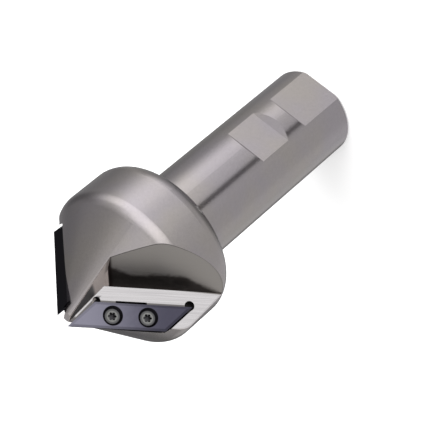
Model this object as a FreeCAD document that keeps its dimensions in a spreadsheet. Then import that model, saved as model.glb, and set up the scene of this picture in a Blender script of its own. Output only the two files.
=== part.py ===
import FreeCAD, Part
import Sketcher
import os

# Indexable 45 degree chamfer mill, millimetres and degrees.
# It stands on the end of its shank: the origin is the centre of that end face, +Z runs along the axis
# to the cutting tip, and +X is square to the two clamping flats.

DRIVING_SIZES = [
    # Turned blank: plain shank, cylindrical head, cone and blunt nose.
    ("shank_radius", 16.0),
    ("shank_length", 78.9),
    ("end_chamfer", 0.6),
    ("neck_flare", 0.8),
    ("head_radius", 28.0),
    ("head_length", 21.6),
    ("head_rounding", 6.2),
    ("cone_half_angle", 45.0),
    ("nose_radius", 1.9),
    # Two clamping flats with sloping ends.
    ("flat_depth", 1.95),
    ("end_flat_length", 19.1),
    ("flat_bridge", 9.4),
    ("flat_length", 13.5),
    ("flat_end_angle", 45.0),
    # Where an insert sits: its frame starts at the tip, runs down the cutting edge along x,
    # across the face towards the body along y and out of the face along z.
    ("insert_turn", -2.7),
    ("face_tilt", 19.1),
    ("tip_back", 0.39),
    ("tip_off_axis", 2.24),
    ("tip_lead", 0.15),
    # Insert: a parallelogram with leaning sides, a narrow sloping land round its face and two holes.
    ("edge_length", 31.0),
    ("insert_width", 8.2),
    ("insert_corner_angle", 44.0),
    ("insert_thickness", 4.76),
    ("insert_relief", 11.0),
    ("face_land_width", 0.8),
    ("face_land_drop", 0.12),
    ("screw_pitch", 11.2),
    ("countersink_radius", 3.15),
    ("countersink_angle", 60.0),
    ("insert_hole_radius", 2.0),
    # Insert screw with a six-lobe socket.
    ("head_sunk", 1.0),
    ("head_edge_rounding", 0.15),
    ("screw_radius", 1.75),
    ("screw_grip", 3.0),
    ("socket_lobe_radius", 0.36),
    ("socket_lobe_circle", 1.04),
    ("socket_depth", 1.5),
    # Chip gullet in front of each insert.
    ("gullet_turn", 2.6),
    ("land_drop", 1.6),
    ("web_half_thickness", 1.1),
    ("gullet_depth", 11.6),
    # Insert pocket in the gullet's floor.
    ("heel_gap", 0.55),
    ("wall_top_gap", 0.22),
    ("wall_top_depth", 0.8),
    ("tip_drill_radius", 1.3),
    ("tip_drill_along", 9.2),
    ("heel_drill_radius", 1.6),
    ("heel_drill_along", 38.9),
    ("drill_beyond_wall", 1.0),
    ("drill_extra_depth", 0.3),
    ("wall_relief_start", 15.3),
    ("wall_relief_length", 9.9),
    ("wall_relief_depth", 1.3),
    ("tapped_clearance", 0.05),
    ("tapped_extra_depth", 0.4),
    # How far the cutting shapes run past the metal that they remove.
    ("overrun", 10.0),
]

doc = FreeCAD.newDocument("ChamferMill")
sizes = doc.addObject("Spreadsheet::Sheet", "Sizes")
for row, (alias, value) in enumerate(DRIVING_SIZES, start=1):
    sizes.set(f"A{row}", alias)
    sizes.set(f"B{row}", str(value))
    sizes.setAlias(f"B{row}", alias)
doc.recompute()

# How near two lengths must be to count as the same one.
SAME = 0.01
FULL_TURN = 360
# The screw's socket has six lobes, and each lobe is drawn with eight sides.
LOBES = 6
LOBE_SIDES = 8
# Where the cone's sides would meet on the axis, and where an insert's tip lies just beyond that.
CONE_START = "(Sizes.shank_length + Sizes.head_length)"
CONE_APEX = f"({CONE_START} + Sizes.head_radius / tan(Sizes.cone_half_angle))"
TIP_HEIGHT = f"({CONE_APEX} + Sizes.tip_lead)"
# The insert's frame, as seen from the axis: turned about the axis, tilted so that its edge runs
# along the cone, laid on its side and rocked about the edge.
INSERT_FRAME = (
    "placement(vector(0; 0; 0); rotationz(Sizes.insert_turn))"
    f" * placement(vector(-Sizes.tip_back; -Sizes.tip_off_axis; {TIP_HEIGHT});"
    " rotationx(90 - Sizes.cone_half_angle) * rotationz(-90) * rotationx(Sizes.face_tilt - 90))"
)
HALF_TURN = "placement(vector(0; 0; 0); rotationz(180))"
WALL_RUN = "tan(Sizes.insert_relief)"
INSERT_SLANT = "tan(Sizes.insert_corner_angle)"
CORNER_SHIFT = f"Sizes.insert_width / {INSERT_SLANT}"
FIRST_SCREW = f"(Sizes.edge_length + {CORNER_SHIFT} - Sizes.screw_pitch) / 2"
SCREW_ROW = "Sizes.insert_width / 2"


def shifted(x, y, z):
    return f"placement(vector({x}; {y}; {z}); rotationz(0))"


def value_of(expression):
    return float(sizes.evalExpression(expression.replace("Sizes.", "")))


def new_body(label):
    body = doc.addObject("PartDesign::Body", label)
    body.Label = label
    doc.recompute()
    return body


def origin_feature(body, role):
    for feature in body.Origin.OriginFeatures:
        if feature.Role == role:
            return feature
    raise ValueError(role)


def new_sketch(body, name, plane):
    sketch = body.newObject("Sketcher::SketchObject", name)
    sketch.AttachmentSupport = [(plane, "")]
    sketch.MapMode = "FlatFace"
    return sketch


def new_plane(body, name, offset):
    plane = body.newObject("PartDesign::Plane", name)
    plane.AttachmentSupport = [(origin_feature(body, "XY_Plane"), "")]
    plane.MapMode = "FlatFace"
    plane.setExpression("AttachmentOffset", offset)
    doc.recompute()
    return plane


def dimension(sketch, kind, geometry, point, expression):
    index = sketch.addConstraint(
        Sketcher.Constraint(kind, -1, 1, geometry, point, value_of(expression))
    )
    sketch.setExpression(f"Constraints[{index}]", expression)


def draw_outline(sketch, corners):
    # A closed outline of straight lines, each corner held at its own two dimensions.
    points = []
    for across, up in corners:
        points.append(FreeCAD.Vector(value_of(across), value_of(up), 0))
    lines = []
    for start, end in zip(points, points[1:] + points[:1]):
        lines.append(sketch.addGeometry(Part.LineSegment(start, end)))
    for line, following in zip(lines, lines[1:] + lines[:1]):
        sketch.addConstraint(Sketcher.Constraint("Coincident", line, 2, following, 1))
    for line, (across, up) in zip(lines, corners):
        dimension(sketch, "DistanceX", line, 1, across)
        dimension(sketch, "DistanceY", line, 1, up)


def draw_polygon(sketch, across, radius, sides, first_corner):
    # A regular outline about a point on the sketch's x axis, its first corner turned by an angle.
    turns = [first_corner + FULL_TURN / sides * corner for corner in range(sides)]
    draw_outline(sketch, [
        (f"{across} + {radius} * cos({turn})", f"{radius} * sin({turn})") for turn in turns
    ])


def draw_circle(sketch, across, up, radius):
    centre = FreeCAD.Vector(value_of(across), value_of(up), 0)
    axis = FreeCAD.Vector(0, 0, 1)
    circle = sketch.addGeometry(Part.Circle(centre, axis, value_of(radius)))
    dimension(sketch, "DistanceX", circle, 3, across)
    dimension(sketch, "DistanceY", circle, 3, up)
    index = sketch.addConstraint(Sketcher.Constraint("Radius", circle, value_of(radius)))
    sketch.setExpression(f"Constraints[{index}]", radius)


def revolve(body, name, corners):
    sketch = new_sketch(body, f"{name}_profile", origin_feature(body, "XZ_Plane"))
    draw_outline(sketch, corners)
    feature = body.newObject("PartDesign::Revolution", name)
    feature.Profile = sketch
    feature.ReferenceAxis = (sketch, ["V_Axis"])
    feature.Angle = FULL_TURN
    doc.recompute()
    return feature


def pocket(body, name, sketch, depth):
    before = body.Shape.Volume
    feature = body.newObject("PartDesign::Pocket", name)
    feature.Profile = sketch
    feature.Type = "Length"
    feature.setExpression("Length", depth)
    doc.recompute()
    if feature.Shape.Volume >= before:
        raise ValueError(f"{name} cuts nothing")
    return feature


def find_edges(shape, wanted):
    return [f"Edge{i}" for i, edge in enumerate(shape.Edges, start=1) if wanted(edge)]


def is_circle(edge, radius, height):
    if not isinstance(edge.Curve, Part.Circle):
        return False
    return abs(edge.Curve.Radius - radius) < SAME and abs(edge.Curve.Center.z - height) < SAME


def round_edges(body, name, base, edges, radius):
    feature = body.newObject("PartDesign::Fillet", name)
    feature.Base = (base, edges)
    feature.setExpression("Radius", radius)
    doc.recompute()
    return feature


def turn_blank(body):
    # Shank, head and cone turned in one piece, with a small flare at the neck and large radii
    # where the head's cylinder meets its back and its cone.
    nose_height = f"{CONE_APEX} - Sizes.nose_radius / tan(Sizes.cone_half_angle)"
    blank = revolve(body, "blank", [
        ("0", "0"),
        ("Sizes.shank_radius - Sizes.end_chamfer", "0"),
        ("Sizes.shank_radius", "Sizes.end_chamfer"),
        ("Sizes.shank_radius", "Sizes.shank_length - Sizes.neck_flare"),
        ("Sizes.shank_radius + Sizes.neck_flare", "Sizes.shank_length"),
        ("Sizes.head_radius", "Sizes.shank_length"),
        ("Sizes.head_radius", CONE_START),
        ("Sizes.nose_radius", nose_height),
        ("0", nose_height),
    ])
    head_radius = value_of("Sizes.head_radius")
    head_back = value_of("Sizes.shank_length")
    head_front = value_of(CONE_START)
    rims = find_edges(blank.Shape, lambda edge: is_circle(edge, head_radius, head_back)
                      or is_circle(edge, head_radius, head_front))
    round_edges(body, "head_radii", blank, rims, "Sizes.head_rounding")


def mill_flats(body):
    # Both flats share one floor height. The lower one runs out of the shank's end.
    floor = "Sizes.shank_radius - Sizes.flat_depth"
    outside = "Sizes.shank_radius + Sizes.overrun"
    spread = "(Sizes.flat_depth + Sizes.overrun) / tan(Sizes.flat_end_angle)"
    upper_start = "Sizes.end_flat_length + Sizes.flat_bridge"
    upper_end = f"{upper_start} + Sizes.flat_length"
    plane = origin_feature(body, "XZ_Plane")
    end_flat = new_sketch(body, "end_flat_profile", plane)
    draw_outline(end_flat, [
        (floor, "-Sizes.overrun"),
        (outside, "-Sizes.overrun"),
        (outside, f"Sizes.end_flat_length + {spread}"),
        (floor, "Sizes.end_flat_length"),
    ])
    upper_flat = new_sketch(body, "upper_flat_profile", plane)
    draw_outline(upper_flat, [
        (floor, upper_start),
        (outside, f"{upper_start} - {spread}"),
        (outside, f"{upper_end} + {spread}"),
        (floor, upper_end),
    ])
    for name, sketch in (("end_flat", end_flat), ("upper_flat", upper_flat)):
        cut = pocket(body, name, sketch, "2 * (Sizes.shank_radius + Sizes.overrun)")
        cut.SideType = "Symmetric"
        doc.recompute()


def mill_gullet(body, land):
    # One straight-walled gash, square to the axis: an upright wall along the web and a wall
    # parallel to the cone. It stops at the land, a floor parallel to the insert's face.
    reach = "(Sizes.head_radius + Sizes.overrun)"
    front = new_plane(body, "gullet_front",
                      "placement(vector(0; 0; 0); rotationz(Sizes.gullet_turn))"
                      f" * placement(vector({reach}; 0; 0); rotationz(90) * rotationx(90))")
    sketch = new_sketch(body, "gullet_profile", front)
    cone_line = f"{CONE_APEX} - Sizes.gullet_depth / sin(Sizes.cone_half_angle)"
    slope = "tan(Sizes.cone_half_angle)"
    top = f"{CONE_APEX} + Sizes.overrun"
    draw_outline(sketch, [
        ("-Sizes.web_half_thickness", f"{cone_line} - Sizes.web_half_thickness / {slope}"),
        ("-Sizes.web_half_thickness", top),
        (f"-{reach}", top),
        (f"-{reach}", f"{cone_line} - {reach} / {slope}"),
    ])
    before = body.Shape.Volume
    cut = body.newObject("PartDesign::Pocket", "gullet")
    cut.Profile = sketch
    cut.Type = "UpToFace"
    cut.UpToFace = (land, [""])
    doc.recompute()
    if cut.Shape.Volume >= before:
        raise ValueError("the gullet cuts nothing")
    return cut


def pocket_corners(clearance):
    # The insert's outline at the land, wider by a clearance along the long wall and the web.
    # It runs out past the cutting edge and leaves a gap at the heel.
    inset = f"((Sizes.land_drop - Sizes.face_land_drop) * {WALL_RUN} - {clearance})"
    web_side = f"{inset} / sin(Sizes.insert_corner_angle)"
    heel_side = "Sizes.edge_length + Sizes.heel_gap / sin(Sizes.insert_corner_angle)"
    outer = "-2 * Sizes.overrun"
    wall = f"(Sizes.insert_width - {inset})"
    return [
        (f"{web_side} + {outer} / {INSERT_SLANT}", outer),
        (f"{heel_side} + {outer} / {INSERT_SLANT}", outer),
        (f"{heel_side} + {wall} / {INSERT_SLANT}", wall),
        (f"{web_side} + {wall} / {INSERT_SLANT}", wall),
    ]


def mill_insert_pocket(body, land, seat):
    # The walls lean like the insert's sides, so the insert seats against the long wall and the
    # web. The walls' top edges, the drilled corners and a stretch of the long wall stand clear.
    depth = "(Sizes.insert_thickness - Sizes.land_drop)"
    outline = new_sketch(body, "pocket_outline", land)
    draw_outline(outline, pocket_corners("0"))
    insert_pocket = pocket(body, "insert_pocket", outline, depth)
    insert_pocket.setExpression("TaperAngle", "-Sizes.insert_relief")
    doc.recompute()
    wall = pocket_corners("0")[-1][1]
    corners = new_sketch(body, "corner_drill_centres", land)
    for end in ("tip", "heel"):
        draw_circle(corners, f"Sizes.{end}_drill_along", f"{wall} + Sizes.drill_beyond_wall",
                    f"Sizes.{end}_drill_radius")
    drills = pocket(body, "corner_drills", corners, f"{depth} + Sizes.drill_extra_depth")
    relief = new_sketch(body, "wall_relief_outline", land)
    relief_end = "Sizes.wall_relief_start + Sizes.wall_relief_length"
    relief_floor = "Sizes.insert_width / 2"
    draw_outline(relief, [
        ("Sizes.wall_relief_start", relief_floor),
        (relief_end, relief_floor),
        (relief_end, f"{wall} + Sizes.wall_relief_depth"),
        ("Sizes.wall_relief_start", f"{wall} + Sizes.wall_relief_depth"),
    ])
    wall_relief = pocket(body, "wall_relief", relief, depth)
    wider = new_sketch(body, "wall_top_outline", land)
    draw_outline(wider, pocket_corners("Sizes.wall_top_gap"))
    wall_top = pocket(body, "wall_top", wider, "Sizes.wall_top_depth")
    holes = new_sketch(body, "tapped_hole_centres", seat)
    for number in (0, 1):
        draw_circle(holes, f"{FIRST_SCREW} + {number} * Sizes.screw_pitch", SCREW_ROW,
                    "Sizes.screw_radius + Sizes.tapped_clearance")
    tapped = pocket(body, "tapped_holes", holes, "Sizes.screw_grip + Sizes.tapped_extra_depth")
    return [insert_pocket, drills, wall_relief, wall_top, tapped]


def make_cutter_body():
    body = new_body("cutter_body")
    turn_blank(body)
    mill_flats(body)
    land = new_plane(body, "land", INSERT_FRAME + " * " + shifted("0", "0", "-Sizes.land_drop"))
    seat = new_plane(body, "seat",
                     INSERT_FRAME + " * " + shifted("0", "0", "-Sizes.insert_thickness"))
    cuts = [mill_gullet(body, land)] + mill_insert_pocket(body, land, seat)
    before = body.Shape.Volume
    pattern = body.newObject("PartDesign::PolarPattern", "both_sides")
    pattern.Originals = cuts
    pattern.Axis = (origin_feature(body, "Z_Axis"), [""])
    pattern.Angle = FULL_TURN
    pattern.Occurrences = 2
    body.Tip = pattern
    doc.recompute()
    if body.Shape.Volume >= before:
        raise ValueError("the second side isn't cut")
    return body


def make_insert(label, side_turn):
    # Modelled in the insert's own frame, with the face at zero height.
    body = new_body(label)
    rim = new_plane(body, "rim", shifted("0", "0", "-Sizes.face_land_drop"))
    outline = new_sketch(body, "rim_outline", rim)
    draw_outline(outline, [
        ("0", "0"),
        ("Sizes.edge_length", "0"),
        (f"Sizes.edge_length + {CORNER_SHIFT}", "Sizes.insert_width"),
        (CORNER_SHIFT, "Sizes.insert_width"),
    ])
    slab = body.newObject("PartDesign::Pad", "slab")
    slab.Profile = outline
    slab.Reversed = True
    slab.setExpression("Length", "Sizes.insert_thickness - Sizes.face_land_drop")
    slab.setExpression("TaperAngle", "-Sizes.insert_relief")
    doc.recompute()
    face = body.newObject("PartDesign::Pad", "face_with_land")
    face.Profile = outline
    face.setExpression("Length", "Sizes.face_land_drop")
    face.setExpression("TaperAngle", "-atan(Sizes.face_land_width / Sizes.face_land_drop)")
    doc.recompute()
    plane = origin_feature(body, "XY_Plane")
    centres = new_sketch(body, "hole_centres", plane)
    for number in (0, 1):
        draw_circle(centres, f"{FIRST_SCREW} + {number} * Sizes.screw_pitch", SCREW_ROW,
                    "Sizes.insert_hole_radius")
    doc.recompute()
    holes = body.newObject("PartDesign::Hole", "countersunk_holes")
    holes.Profile = centres
    doc.recompute()
    holes.DepthType = "ThroughAll"
    holes.HoleCutType = "Countersink"
    holes.setExpression("Diameter", "2 * Sizes.insert_hole_radius")
    holes.setExpression("HoleCutDiameter", "2 * Sizes.countersink_radius")
    holes.setExpression("HoleCutCountersinkAngle", "Sizes.countersink_angle")
    doc.recompute()
    body.setExpression("Placement", side_turn + INSERT_FRAME)
    doc.recompute()
    return body


def make_screw(label, side_turn, number):
    # The head is the lower part of the countersink's own cone, so it seats on it all round.
    body = new_body(label)
    lean = "tan(Sizes.countersink_angle / 2)"
    head_radius = f"(Sizes.countersink_radius - Sizes.head_sunk * {lean})"
    cone_end = f"-(Sizes.countersink_radius - Sizes.screw_radius) / {lean}"
    screw_end = "-(Sizes.insert_thickness + Sizes.screw_grip)"
    revolve(body, "turned_screw", [
        ("0", "-Sizes.head_sunk"),
        (f"{head_radius} - Sizes.head_edge_rounding", "-Sizes.head_sunk"),
        (f"{head_radius} - Sizes.head_edge_rounding * {lean}",
         "-Sizes.head_sunk - Sizes.head_edge_rounding"),
        ("Sizes.screw_radius", cone_end),
        ("Sizes.screw_radius", screw_end),
        ("0", screw_end),
    ])
    socket_plane = new_plane(body, "head_top", shifted("0", "0", "-Sizes.head_sunk"))
    core = new_sketch(body, "socket_core_outline", socket_plane)
    draw_polygon(core, "0", "Sizes.socket_lobe_circle", LOBES, 0)
    pocket(body, "socket_core", core, "Sizes.socket_depth")
    lobe = new_sketch(body, "socket_lobe_outline", socket_plane)
    draw_polygon(lobe, "Sizes.socket_lobe_circle", "Sizes.socket_lobe_radius", LOBE_SIDES,
                 FULL_TURN / LOBE_SIDES / 2)
    lobe_cut = pocket(body, "socket_lobe", lobe, "Sizes.socket_depth")
    lobes = body.newObject("PartDesign::PolarPattern", "six_lobes")
    lobes.Originals = [lobe_cut]
    lobes.Axis = (origin_feature(body, "Z_Axis"), [""])
    lobes.Angle = FULL_TURN
    lobes.Occurrences = LOBES
    body.Tip = lobes
    place = shifted(f"{FIRST_SCREW} + {number} * Sizes.screw_pitch", SCREW_ROW, "0")
    body.setExpression("Placement", f"{side_turn}{INSERT_FRAME} * {place}")
    doc.recompute()
    return body


def make_parts():
    parts = [make_cutter_body()]
    screws = []
    for side, side_turn in ((1, ""), (2, f"{HALF_TURN} * ")):
        parts.append(make_insert(f"insert_{side}", side_turn))
        for number in (0, 1):
            screws.append(make_screw(f"screw_{side}_{number + 1}", side_turn, number))
    screw_set = doc.addObject("Part::Compound", "insert_screws")
    screw_set.Label = "insert_screws"
    screw_set.Links = screws
    doc.recompute()
    return parts + [screw_set]


def check_document():
    for item in doc.Objects:
        if "Invalid" in item.State or "Error" in item.State:
            raise ValueError(f"{item.Name} failed: {item.State}")


def write_parts(parts):
    os.makedirs("parts", exist_ok=True)
    for part in parts:
        if part.Shape.isNull() or not part.Shape.isValid():
            raise ValueError(f"{part.Label} has no valid shape")
        part.Shape.exportStep(f"parts/{part.Label}.step")
        box = part.Shape.BoundBox
        print(part.Label, len(part.Shape.Solids), "solids", round(part.Shape.Volume, 1), "mm3",
              "z", round(box.ZMin, 2), "to", round(box.ZMax, 2))


all_parts = make_parts()
doc.recompute()
check_document()
write_parts(all_parts)
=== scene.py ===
import math

import bpy
from mathutils import Matrix, Vector

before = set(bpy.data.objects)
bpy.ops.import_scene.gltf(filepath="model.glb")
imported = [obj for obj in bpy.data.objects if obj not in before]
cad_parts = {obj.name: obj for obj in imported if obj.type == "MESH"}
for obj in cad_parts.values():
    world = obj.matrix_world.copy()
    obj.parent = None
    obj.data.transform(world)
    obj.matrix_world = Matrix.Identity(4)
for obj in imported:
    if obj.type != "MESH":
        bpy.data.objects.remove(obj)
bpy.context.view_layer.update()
print("frame loaded:", sorted(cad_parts))

millimetres = 1000.0
foldWidth = 0.001  # how far from the plane between the cutter's two sides the change is soft


def direction(azimuth, elevation):
    # azimuth in degrees from +X towards +Y, elevation above the floor
    around = math.radians(azimuth)
    up = math.radians(elevation)
    return (math.cos(around) * math.cos(up), math.sin(around) * math.cos(up), math.sin(up))


class Wire:
    # one socket of a node tree, whose arithmetic adds Math nodes
    def __init__(self, tree, socket=None):
        self.tree = tree
        self.socket = socket

    def node(self, kind, settings, sockets, out=0):
        made = self.tree.nodes.new("ShaderNode" + kind)
        for name, value in settings.items():
            setattr(made, name, value)
        for key, value in sockets.items():
            if isinstance(value, Wire):
                self.tree.links.new(value.socket, made.inputs[key])
            else:
                made.inputs[key].default_value = value
        return Wire(self.tree, made.outputs[out])

    def maths(self, operation, *terms):
        return self.node("Math", {"operation": operation}, dict(enumerate(terms)))

    def __add__(self, other):
        return self.maths("ADD", self, other)

    def __radd__(self, other):
        return self.maths("ADD", other, self)

    def __sub__(self, other):
        return self.maths("SUBTRACT", self, other)

    def __rsub__(self, other):
        return self.maths("SUBTRACT", other, self)

    def __mul__(self, other):
        return self.maths("MULTIPLY", self, other)

    def __rmul__(self, other):
        return self.maths("MULTIPLY", other, self)

    def __truediv__(self, other):
        return self.maths("DIVIDE", self, other)

    def __rtruediv__(self, other):
        return self.maths("DIVIDE", other, self)

    def __pow__(self, other):
        return self.maths("POWER", self, other)

    def __rpow__(self, other):
        return self.maths("POWER", other, self)

    def lower(self, other):
        return self.maths("MINIMUM", self, other)

    def higher(self, other):
        return self.maths("MAXIMUM", self, other)

    def size(self):
        return self.maths("ABSOLUTE", self)

    def smooth(self, low, high):
        # 0 below low, 1 above high, with a soft change between
        return self.node("MapRange", {"interpolation_type": "SMOOTHSTEP"},
                         {"Value": self, "From Min": low, "From Max": high})

    def fade(self, low, high):
        # 1 below low, 0 above high
        return 1 - self.smooth(low, high)

    def band(self, begin, full, end, gone):
        # 1 from full to end, 0 before begin and after gone
        return self.smooth(begin, full) * self.fade(end, gone)

    def between(self, low, high):
        # low where this is 0, high where it is 1
        return low + (high - low) * self

    def mixColour(self, first, second):
        # the first colour where this is 0, the second where it is 1
        sockets = {"Factor": self, "A": first, "B": second}
        return self.node("Mix", {"data_type": "RGBA"}, sockets, out=2)


def colour(red, green, blue):
    return (red, green, blue, 1)


def shader(name, values):
    # a new material, a wire to start from and its surface, with these plain values
    material = bpy.data.materials.new(name)
    material.use_nodes = True
    tree = material.node_tree
    surface = tree.nodes["Principled BSDF"]
    for socket, value in values.items():
        surface.inputs[socket].default_value = value
    return material, Wire(tree), surface


def feed(surface, wire, socket):
    wire.tree.links.new(wire.socket, surface.inputs[socket])


def addBump(wire, surface, height, strength, distance):
    bump = wire.node("Bump", {}, {"Height": height, "Strength": strength, "Distance": distance})
    feed(surface, bump, "Normal")


def axesOf(wire, place):
    return [wire.node("SeparateXYZ", {}, {0: place}, out=axis) for axis in range(3)]


def joined(wire, x, y, z):
    return wire.node("CombineXYZ", {}, {0: x, 1: y, 2: z})


def along(x, y, z, axis):
    return x * axis[0] + y * axis[1] + z * axis[2]


def scaled(wire, vector, amount):
    return wire.node("VectorMath", {"operation": "SCALE"}, {0: vector, "Scale": amount})


def noise(wire, place, scale, detail):
    return wire.node("TexNoise", {}, {"Vector": place, "Scale": scale, "Detail": detail})


def rays(wire):
    # camera rays, and those that a mirror or glass sends on
    camera = wire.node("LightPath", {}, {}, out=0)
    glossy = wire.node("LightPath", {}, {}, out=3)
    through = wire.node("LightPath", {}, {}, out=6)
    return camera, glossy, through


def foldedPlace(wire):
    # the piece's own coordinates in millimetres, and the same with the far side read half a turn
    # round, because both sides of the cutter are alike
    place = scaled(wire, wire.node("TexCoord", {}, {}, out=3), millimetres)
    x, y, z = axesOf(wire, place)
    turn = 1 - y.smooth(-foldWidth, foldWidth) * 2
    return place, x * turn, y * turn, z


# Where the insert lies, in millimetres and degrees
seat = {
    "turn": -2.7,
    "edgeAngle": 45.0,
    "faceTilt": 19.1,
    "tip": (-0.39, -2.24, 128.65),
    "landDrop": 1.6,
    "length": 31.0,
    "width": 8.2,
    "cornerAngle": 44.0,
    "screwPitch": 11.2,
}
# The turned outline of the head, in millimetres and degrees
head = {
    "radius": 28.0,
    "coneAngle": 45.0,
    "apex": 128.5,
    "blend": 2.83,
}
# The chip gullet, with the narrow pairs of distances that tell its faces apart
gullet = {
    "turn": 2.6,
    "webHalf": 1.1,
    "wallLean": 45.0,
    "depth": 11.6,
    "face": (-0.06, -0.04),
    "overLand": (0.04, 0.06),
    "onWeb": (0.03, 0.05),
    "underSkin": (0.1, 0.14),
}


def seatFrame():
    # its columns point down the cutting edge, across the face and out of the face
    turned = Matrix.Rotation(math.radians(seat["turn"]), 4, "Z")
    lean = Matrix.Rotation(math.radians(seat["edgeAngle"]), 4, "X")
    side = Matrix.Rotation(math.radians(-90), 4, "Z")
    rock = Matrix.Rotation(math.radians(seat["faceTilt"] - 90), 4, "X")
    return turned @ Matrix.Translation(Vector(seat["tip"])) @ lean @ side @ rock


def insertPlace(x, y, z):
    # distances along the edge, across the face and above it, measured from the tip
    home = seatFrame().inverted()
    rows = [home[i] for i in range(3)]
    return [along(x, y, z, row) + row[3] for row in rows]


def gulletDistances(x, y, z):
    # how far in front of the land, the long wall and the web a point lies
    turned = Matrix.Rotation(math.radians(gullet["turn"]), 3, "Z")
    web = turned @ Vector((0, -1, 0))
    wall = turned @ Vector(direction(-90, gullet["wallLean"]))
    above = insertPlace(x, y, z)[2]
    wallLine = head["apex"] * math.sin(math.radians(gullet["wallLean"])) - gullet["depth"]
    fromLand = above + seat["landDrop"]
    return fromLand, along(x, y, z, wall) - wallLine, along(x, y, z, web) - gullet["webHalf"]


def screwDistance(edgeRun, across):
    # how far a point lies from the nearer of the two screws' axes
    middle = (seat["length"] + seat["width"] / math.tan(math.radians(seat["cornerAngle"]))) / 2
    run = (edgeRun - middle).size() - seat["screwPitch"] / 2
    off = across - seat["width"] / 2
    return (run * run + off * off) ** 0.5


def skinDepth(x, y, z):
    # how deep a point lies under the head's turned outline
    radius = (x * x + y * y) ** 0.5
    side = head["radius"] - radius
    slope = (head["apex"] - radius - z) * math.sin(math.radians(head["coneAngle"]))
    return side.maths("SMOOTH_MIN", side, slope, head["blend"])


# Patterns over the steel, each with its scale per millimetre and its detail
grain = {
    "drift": (0.045, 2.0),
    "speckle": (1.3, 4.0),
    "streaks": (1.6, 5.0),
    "cloud": (0.5, 5.0),
    "blotches": (0.35, 3.0),
    "rings": (1.0, 3.0),
    "pits": (6.0, 3.0),
}
bodyLook = {
    "warm": colour(0.372, 0.344, 0.330),
    "cool": colour(0.358, 0.332, 0.352),
    "ground": (0.318, 0.308, 0.312),
    "wall": colour(0.358, 0.334, 0.314),
    "webWall": colour(0.450, 0.390, 0.365),
    "shaded": colour(0.085, 0.080, 0.080),
    "burnt": colour(0.030, 0.020, 0.018),
    "stainAndShade": colour(0.052, 0.044, 0.040),
    "pocket": colour(0.030, 0.028, 0.028),
    "tintChange": (0.35, 0.65),
    "speckle": (0.93, 1.07),  # darkest and palest
    "streakRun": 0.03,
    "streakGap": 2.6,
    "streakChange": (0.25, 0.75),
    "streakTone": (0.9, 1.14),  # darkest and palest
    "ringGap": 2.5,
    "satin": 0.25,
    "gloss": 0.14,
    "wallSatin": 0.34,
    "ringShine": 0.05,
    "cloudShine": 0.06,
    "streakShine": 0.1,
    "ringHeight": 0.4,
    "pitHeight": 0.3,
    "streakHeight": 0.3,
    "bump": (0.08, 0.00005),  # strength, and height in metres
    "edgeShadeLine": (0.16, 0.45),
    "edgeThins": (13.0, 22.0),
    "edgeThinning": 0.65,
    "edgeWorn": 0.85,
    "edgeDark": 0.72,
    "dulling": 0.75,
}
# How far the dark band on the long wall reaches, part stain and part painted shade, in millimetres
# above the land and out from the web.
# Here and below, two numbers say where a change starts and is full, and two more where it starts
# to go and is gone.
stainAndShade = {
    "height": 6.0,
    "rise": (-2.0, 7.0),
    "riseHeight": 3.4,
    "swell": (7.0, 12.0, 14.0, 21.0),
    "swellHeight": 0.9,
    "end": 25.8,
    "fall": 0.79,
    "ragged": 1.6,
    "edge": (-0.9, 1.1),
    "amount": (0.82, 1.12),  # least and most, with its blotches
    "shadedFoot": (0.1, 0.45),
    "most": 0.97,
}


def stainedAndShadedWall(wire, place, land, web, cloud):
    # the top of the stain and painted shade rises at the web, swells in the middle and falls towards
    # the rim
    top = stainAndShade["height"] + web.fade(*stainAndShade["rise"]) * stainAndShade["riseHeight"]
    top = top + web.band(*stainAndShade["swell"]) * stainAndShade["swellHeight"]
    top = top.lower((stainAndShade["end"] - web) * stainAndShade["fall"])
    over = land - top + (cloud - 0.5) * stainAndShade["ragged"]
    blotches = noise(wire, place, *grain["blotches"])
    stainedAndShaded = over.fade(*stainAndShade["edge"]) * blotches.between(*stainAndShade["amount"])
    # its foot, where the wall meets the land, is painted shade all along
    stainedAndShaded = stainedAndShaded.higher(land.fade(*stainAndShade["shadedFoot"])).lower(stainAndShade["most"])
    return stainedAndShaded.mixColour(bodyLook["wall"], bodyLook["stainAndShade"])


# Wear, and painted shade on the web's side, where the long wall meets the web, in millimetres
cornerWearAndShade = {
    "width": 1.2,
    "height": 9.0,
    "burnt": (0.4, 1.2),
    "pale": (-0.2, 0.1),
    "slotLean": 0.25,
    "slotFrom": (2.2, 3.1),
    "slotFoot": (0.2, 0.8),
    "slotRim": (0.3, 1.3),
    "scorchWidth": (0.3, 1.3),
    "scorchHeight": (6.5, 8.0),
    "scorch": 0.55,
}


def wornAndShadedCorner(wallColour, land, wall, web, depth):
    # the corner is worn pale beside the web, with a burnt line along it
    corner = web - cornerWearAndShade["width"] * (1 - land / cornerWearAndShade["height"])
    burnt = corner.fade(*cornerWearAndShade["burnt"])
    wallColour = burnt.mixColour(wallColour, bodyLook["burnt"])
    pale = corner.fade(*cornerWearAndShade["pale"])
    wallColour = pale.mixColour(wallColour, bodyLook["webWall"])
    # the web's own side gets painted shade away from the wall, and is scorched high up beside it
    slot = (wall - land * cornerWearAndShade["slotLean"]).smooth(*cornerWearAndShade["slotFrom"])
    slot = slot * land.smooth(*cornerWearAndShade["slotFoot"]) * depth.smooth(*cornerWearAndShade["slotRim"])
    webColour = slot.mixColour(bodyLook["webWall"], bodyLook["shaded"])
    scorched = wall.fade(*cornerWearAndShade["scorchWidth"]) * land.smooth(*cornerWearAndShade["scorchHeight"])
    webColour = (scorched * cornerWearAndShade["scorch"]).mixColour(webColour, bodyLook["burnt"])
    onWeb = web.fade(*gullet["onWeb"])
    return onWeb.mixColour(wallColour, webColour), pale.higher(onWeb)


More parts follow.
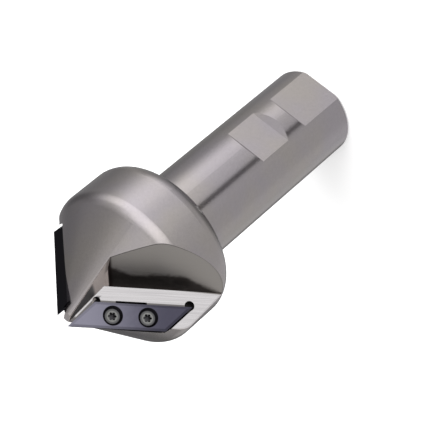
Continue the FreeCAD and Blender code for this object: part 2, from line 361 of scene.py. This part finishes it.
# Painted shade on the ground land, in millimetres
landShade = {
    "stripFrom": (0.3, 0.6),
    "stripTo": (1.3, 1.6),
    "stripStart": (2.6, 3.4),
    "lineEnd": (9.0, 9.8),
    "gapShadeAcross": (8.0, 8.2, 8.95, 9.25),
    "gapShadeRun": (9.0, 10.0, 37.0, 38.0),
    "rimStart": 20.0,
    "rimSlope": 0.045,
    "rimShade": (-0.2, 0.4),
}


def shadedLand(ground, edgeRun, across, wall, web):
    # beside the insert's tip the land stays bright in a line along the web, with painted shade past
    # the line
    strip = web.smooth(*landShade["stripFrom"]).higher(wall.smooth(*landShade["lineEnd"]))
    strip = strip * web.fade(*landShade["stripTo"]) * wall.smooth(*landShade["stripStart"])
    ground = strip.mixColour(ground, bodyLook["shaded"])
    # painted shade runs along the insert's back edge, where a gap lies beside it
    gapShade = across.band(*landShade["gapShadeAcross"]) * edgeRun.band(*landShade["gapShadeRun"])
    ground = gapShade.mixColour(ground, bodyLook["shaded"])
    # painted shade in the corner where the land meets the long wall, widening towards the rim, in
    # the colour of the wall's stain
    rim = wall - (web - landShade["rimStart"]) * landShade["rimSlope"]
    return rim.fade(*landShade["rimShade"]).mixColour(ground, bodyLook["stainAndShade"])


def dressBody():
    material, wire, surface = shader("cutterSteel", {})
    place, x, y, z = foldedPlace(wire)
    edgeRun, across, above = insertPlace(x, y, z)
    land, wall, web = gulletDistances(x, y, z)
    depth = skinDepth(x, y, z)
    inGullet = wall.lower(web).smooth(*gullet["face"]) * depth.smooth(*gullet["underSkin"])
    onLand = inGullet * land.smooth(*gullet["face"]) * land.fade(*gullet["overLand"])
    onWall = inGullet * land.smooth(*gullet["overLand"])
    # tints that drift over the bar
    drift = noise(wire, place, *grain["drift"])
    steel = drift.smooth(*bodyLook["tintChange"]).mixColour(bodyLook["warm"], bodyLook["cool"])
    speckle = noise(wire, place, *grain["speckle"])
    steel = scaled(wire, steel, speckle.between(*bodyLook["speckle"]))
    # fine grinding streaks along the land and the gullet's wall
    gap = bodyLook["streakGap"]
    streakPlace = joined(wire, edgeRun * bodyLook["streakRun"], across * gap, above * gap)
    streaks = noise(wire, streakPlace, *grain["streaks"]).smooth(*bodyLook["streakChange"])
    ground = scaled(wire, bodyLook["ground"], streaks.between(*bodyLook["streakTone"]))
    ground = shadedLand(ground, edgeRun, across, wall, web)
    cloud = noise(wire, place, *grain["cloud"])
    wallColour = stainedAndShadedWall(wire, place, land, web, cloud)
    wallColour, worn = wornAndShadedCorner(wallColour, land, wall, web, depth)
    # below the land, in the insert's pocket and its relief holes, the steel is painted shade
    cut = onLand.mixColour(onWall.mixColour(bodyLook["pocket"], wallColour), ground)
    # a thin line of painted shade where a cut leaves the turned skin, but hardly any on a worn face
    dull = onWall * worn
    edgeShadeLine = depth.fade(*bodyLook["edgeShadeLine"])
    edgeShadeLine = edgeShadeLine * (1 - web.smooth(*bodyLook["edgeThins"]) * bodyLook["edgeThinning"])
    edgeShadeLine = edgeShadeLine * (1 - dull * bodyLook["edgeWorn"])
    cut = scaled(wire, cut, 1 - edgeShadeLine * bodyLook["edgeDark"])
    feed(surface, inGullet.mixColour(steel, cut), "Base Color")
    # turning marks round the bar, and a little unevenness
    gap = bodyLook["ringGap"]
    radius = (x * x + y * y) ** 0.5
    rings = noise(wire, joined(wire, radius * gap, 0.0, z * gap), *grain["rings"])
    satin = bodyLook["satin"] + bodyLook["ringShine"] * (rings - 0.5)
    satin = satin + bodyLook["cloudShine"] * (cloud - 0.5)
    streaked = bodyLook["streakShine"] * (streaks - 0.5)
    satin = satin + onLand * (bodyLook["gloss"] + streaked - satin)
    satin = satin + (inGullet - onLand) * (bodyLook["wallSatin"] + streaked - satin)
    feed(surface, satin, "Roughness")
    pits = noise(wire, place, *grain["pits"])
    height = rings * bodyLook["ringHeight"] + pits * bodyLook["pitHeight"]
    height = height + streaks * bodyLook["streakHeight"] * inGullet
    addBump(wire, surface, height, *bodyLook["bump"])
    # the web's side and the worn corner are dull, without a mirror's shine
    feed(surface, 1 - dull * bodyLook["dulling"], "Metallic")
    return material


# The coating of the inserts, with places in millimetres
insertLook = {
    "tip": colour(0.145, 0.141, 0.176),
    "heel": colour(0.046, 0.044, 0.062),
    "flank": colour(0.030, 0.029, 0.032),
    "countersinkShade": colour(0.034, 0.032, 0.040),
    "ringRadius": 3.25,
    "ringSoft": 0.12,
    "edgeTint": colour(0.45, 0.45, 0.5),
    "face": (-0.16, -0.13),
    "rim": (-0.012, -0.004),
    "rimDark": 0.22,
    "cloud": (0.9, 4.0),  # scale and detail
    "cloudTone": (0.9, 1.1),  # darkest and palest
    "cloudShine": 0.1,
    "paleTowardsTip": (4.0, 32.0),
    "paleTowardsTipRagged": 6.0,
    "satin": 0.3,
    "ringSatin": 0.2,
    "pits": (9.0, 3.0),  # scale and detail
    "bump": (0.08, 0.00003),
}


def dressInsert():
    tint = {"Metallic": 1.0, "Specular Tint": insertLook["edgeTint"]}
    material, wire, surface = shader("coatedCarbide", tint)
    place, x, y, z = foldedPlace(wire)
    edgeRun, across, above = insertPlace(x, y, z)
    onFace = above.smooth(*insertLook["face"])
    rim = onFace * above.fade(*insertLook["rim"])
    cloud = noise(wire, place, *insertLook["cloud"])
    # the coating is paler towards the tip
    paleTowardsTip = (edgeRun + (cloud - 0.5) * insertLook["paleTowardsTipRagged"]).smooth(*insertLook["paleTowardsTip"])
    face = paleTowardsTip.mixColour(insertLook["tip"], insertLook["heel"])
    tone = cloud.between(*insertLook["cloudTone"]) - rim * insertLook["rimDark"]
    finish = onFace.mixColour(insertLook["flank"], scaled(wire, face, tone))
    # painted shade in the countersinks round the screws
    radius = insertLook["ringRadius"]
    countersinkShade = screwDistance(edgeRun, across).fade(radius - insertLook["ringSoft"], radius)
    feed(surface, countersinkShade.mixColour(finish, insertLook["countersinkShade"]), "Base Color")
    satin = insertLook["satin"] + insertLook["cloudShine"] * (cloud - 0.5)
    feed(surface, satin + countersinkShade * insertLook["ringSatin"], "Roughness")
    addBump(wire, surface, noise(wire, place, *insertLook["pits"]), *insertLook["bump"])
    return material


# The screws, with places in millimetres from their axes and from the insert's face
screwLook = {
    "head": colour(0.072, 0.072, 0.073),
    "collar": colour(0.140, 0.140, 0.136),
    "recessShade": colour(0.034, 0.033, 0.036),
    "top": (-1.03, -1.01),
    "rimRadius": 2.3,
    "rimSoft": 0.1,
    "socketRadius": 1.5,
    "collarEdge": (0.1, 0.4),
    "marks": (3.0, 4.0),  # scale and detail
    "turned": (1.5, 2.0),  # scale and detail
    "turnedGap": 3.0,
    "leastTone": 0.7,
    "markTone": 0.4,
    "turnedTone": 0.25,
    "satin": 0.34,
    "markShine": 0.12,
    "bump": (0.1, 0.00004),
}


def dressScrews():
    material, wire, surface = shader("screwSteel", {"Metallic": 1.0})
    place, x, y, z = foldedPlace(wire)
    edgeRun, across, above = insertPlace(x, y, z)
    off = screwDistance(edgeRun, across)
    rim = screwLook["rimRadius"]
    onTop = above.smooth(*screwLook["top"]) * off.fade(rim - screwLook["rimSoft"], rim)
    collar = (off - screwLook["socketRadius"]).size().fade(*screwLook["collarEdge"])
    marks = noise(wire, place, *screwLook["marks"])
    turnedPlace = joined(wire, off * screwLook["turnedGap"], 0.0, above)
    turned = noise(wire, turnedPlace, *screwLook["turned"])
    steel = collar.mixColour(screwLook["head"], screwLook["collar"])
    tone = screwLook["leastTone"] + screwLook["markTone"] * marks + screwLook["turnedTone"] * turned
    steel = scaled(wire, steel, tone)
    # the socket and the head's side, below its top and past its rim, are painted shade
    feed(surface, onTop.mixColour(screwLook["recessShade"], steel), "Base Color")
    feed(surface, screwLook["satin"] + screwLook["markShine"] * (marks - 0.5), "Roughness")
    addBump(wire, surface, marks * 0.5 + turned * 0.5, *screwLook["bump"])
    return material


def giveFinish(names, material):
    for name in names:
        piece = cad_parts[name]
        for slot in piece.material_slots:
            slot.material = material


giveFinish(["cutter_body"], dressBody())
giveFinish(["insert_1", "insert_2"], dressInsert())
giveFinish(["insert_screws"], dressScrews())
print("finishes made")


# The studio, as a mirror on the table sees it. A panel adds its level where a direction's azimuth
# and elevation are inside the four angles at which it starts, is full, is still full and ends.
studio = {
    "level": 0.70,
    "darkest": 0.02,
    "white": 1.0,
    "fill": 0.9,
}
panels = {
    "key": {"across": (-56, -8, 40, 84), "height": (-40, -20, -2, 14), "level": 1.4},
    "upper key": {"across": (-60, -8, 12, 64), "height": (-2, 14, 14, 56), "level": 1.35},
    "overhead": {"across": (-90, -60, 4, 62), "height": (44, 56, 90, 91), "level": 0.42},
    "low strip": {"across": (8, 36, 46, 70), "height": (-62, -42, -30, -16), "level": 0.58},
    "side flag": {"across": (66, 90, 138, 160), "height": (-76, -54, 12, 40), "level": -0.4},
    "dark core": {"across": (84, 100, 120, 134), "height": (-26, -16, -2, 8), "level": -0.12},
    "low fill": {"across": (76, 90, 136, 146), "height": (-70, -50, -42, -34), "level": 0.12},
    "low edge": {"across": (74, 86, 94, 108), "height": (-50, -42, -32, -26), "level": 0.12},
    "upper flag": {"across": (20, 96, 120, 138), "height": (20, 40, 60, 75), "level": -0.36},
    "rear flag": {"across": (140, 160, 184, 200), "height": (-60, -45, 2, 14), "level": -0.54},
    "neck flag": {"across": (120, 140, 196, 206), "height": (-90, -84, -62, -54), "level": -0.5},
    "heel flag": {"across": (176, 190, 204, 222), "height": (-6, 4, 8, 20), "level": -0.26},
    "line shade": {"across": (-46, -34, -16, 2), "height": (-48, -42, -30, -24), "level": -0.16},
    "left strip": {"across": (-138, -118, -110, -96), "height": (-60, -50, -20, -10), "level": 0.08},
    "table": {"across": (-400, -300, 300, 400), "height": (-92, -91, -80, -56), "level": -0.4},
}


def makeStudio():
    world = bpy.data.worlds.new("studio")
    bpy.context.scene.world = world
    world.use_nodes = True
    tree = world.node_tree
    wire = Wire(tree)
    x, y, z = axesOf(wire, wire.node("TexCoord", {}, {}, out=0))
    azimuth = y.maths("ARCTAN2", y, x) * math.degrees(1)
    elevation = z.maths("ARCSINE", z) * math.degrees(1)
    light = 0.0
    for panel in panels.values():
        middle = sum(panel["across"][1:3]) / 2
        around = azimuth.maths("WRAP", azimuth, middle + 180, middle - 180)
        amount = around.band(*panel["across"]) * elevation.band(*panel["height"])
        light = light + amount * panel["level"]
    reflected = (light + studio["level"]).higher(studio["darkest"])
    camera, glossy, through = rays(wire)
    shown = camera * studio["white"] + (glossy + through).lower(1.0) * reflected
    seen = (camera + glossy + through).lower(1.0)
    strength = shown + (1 - seen) * studio["fill"]
    background = tree.nodes["Background"]
    background.inputs["Color"].default_value = colour(1, 1, 1)
    feed(background, strength, "Strength")


# A narrow grey card close beside the shank, in metres, which the shank mirrors as one dark line
card = {
    "azimuth": -24,
    "from": (0.01488, -0.00587),  # the spot on the shank that it faces
    "away": 0.008,
    "width": 0.0034,
    "top": 0.0775,
    "bottom": 0.001,
    "grey": colour(0.34, 0.34, 0.34),
}


def makeCard():
    bpy.ops.object.select_all(action="DESELECT")
    reach = Vector(direction(card["azimuth"], 0)) * card["away"]
    middle = Vector((*card["from"], (card["top"] + card["bottom"]) / 2)) + reach
    bpy.ops.mesh.primitive_plane_add(size=1, location=middle,
                                     rotation=(0, math.radians(90), math.radians(card["azimuth"])))
    flag = bpy.context.object
    flag.name = "greyCard"
    flag.scale = (card["top"] - card["bottom"], card["width"], 1)
    bpy.ops.object.transform_apply(location=True, rotation=True, scale=True)
    matt = {"Base Color": card["grey"], "Roughness": 1.0}
    flag.data.materials.append(shader("greyCard", matt)[0])
    flag.visible_camera = False
    flag.visible_shadow = False
    flag.visible_diffuse = False


floorLook = {
    "size": 6.0,
    "tone": colour(0.82, 0.82, 0.82),
    "roughness": 0.9,
    "lift": 0.26,
}


def makeFloor():
    bpy.ops.object.select_all(action="DESELECT")
    bpy.ops.mesh.primitive_plane_add(size=floorLook["size"])
    floor = bpy.context.object
    floor.name = "floor"
    pale = {"Base Color": floorLook["tone"], "Roughness": floorLook["roughness"]}
    material, wire, surface = shader("paleFloor", {**pale, "Emission Color": colour(1, 1, 1)})
    camera, glossy, through = rays(wire)
    feed(surface, (camera + glossy + through).lower(1.0) * floorLook["lift"], "Emission Strength")
    floor.data.materials.append(material)
    # the bar's lower half mirrors the studio itself, not the table that it stands on
    floor.visible_glossy = False


# A soft lamp for the floor and what is dull, which no mirror sees
lamp = {
    "place": (0.35, 0.25, 0.9),
    "aim": (0, 0, 0.06),
    "size": 0.7,
    "power": 9.0,
}


def makeLamp():
    light = bpy.data.lights.new("overhead", "AREA")
    light.size = lamp["size"]
    light.energy = lamp["power"]
    holder = bpy.data.objects.new("overhead", light)
    bpy.context.scene.collection.objects.link(holder)
    holder.location = lamp["place"]
    aim = Vector(lamp["aim"]) - holder.location
    holder.rotation_euler = aim.to_track_quat("-Z", "Y").to_euler()
    holder.visible_glossy = False


# The camera, in metres: it looks down on the tip and is rolled as in the picture
shot = {
    "place": (0.46473, -0.16337, 0.40395),
    "right": (0.20407, -0.75529, -0.62281),
    "up": (0.59644, 0.60041, -0.53270),
    "lens": 153.4,
    "sensor": 36.0,
    "nearest": 0.01,
    "farthest": 20.0,
}


def makeCamera():
    camera = bpy.data.cameras.new("camera")
    camera.lens = shot["lens"]
    camera.sensor_width = shot["sensor"]
    camera.clip_start = shot["nearest"]
    camera.clip_end = shot["farthest"]
    holder = bpy.data.objects.new("camera", camera)
    bpy.context.scene.collection.objects.link(holder)
    right = Vector(shot["right"]).normalized()
    back = right.cross(Vector(shot["up"])).normalized()
    up = back.cross(right)
    turn = Matrix((right, up, back)).transposed()
    holder.matrix_world = Matrix.Translation(Vector(shot["place"])) @ turn.to_4x4()
    bpy.context.scene.camera = holder


makeStudio()
makeFloor()
makeCard()
makeLamp()
makeCamera()
bpy.context.scene.view_settings.view_transform = "Standard"
print("studio, floor and camera made")
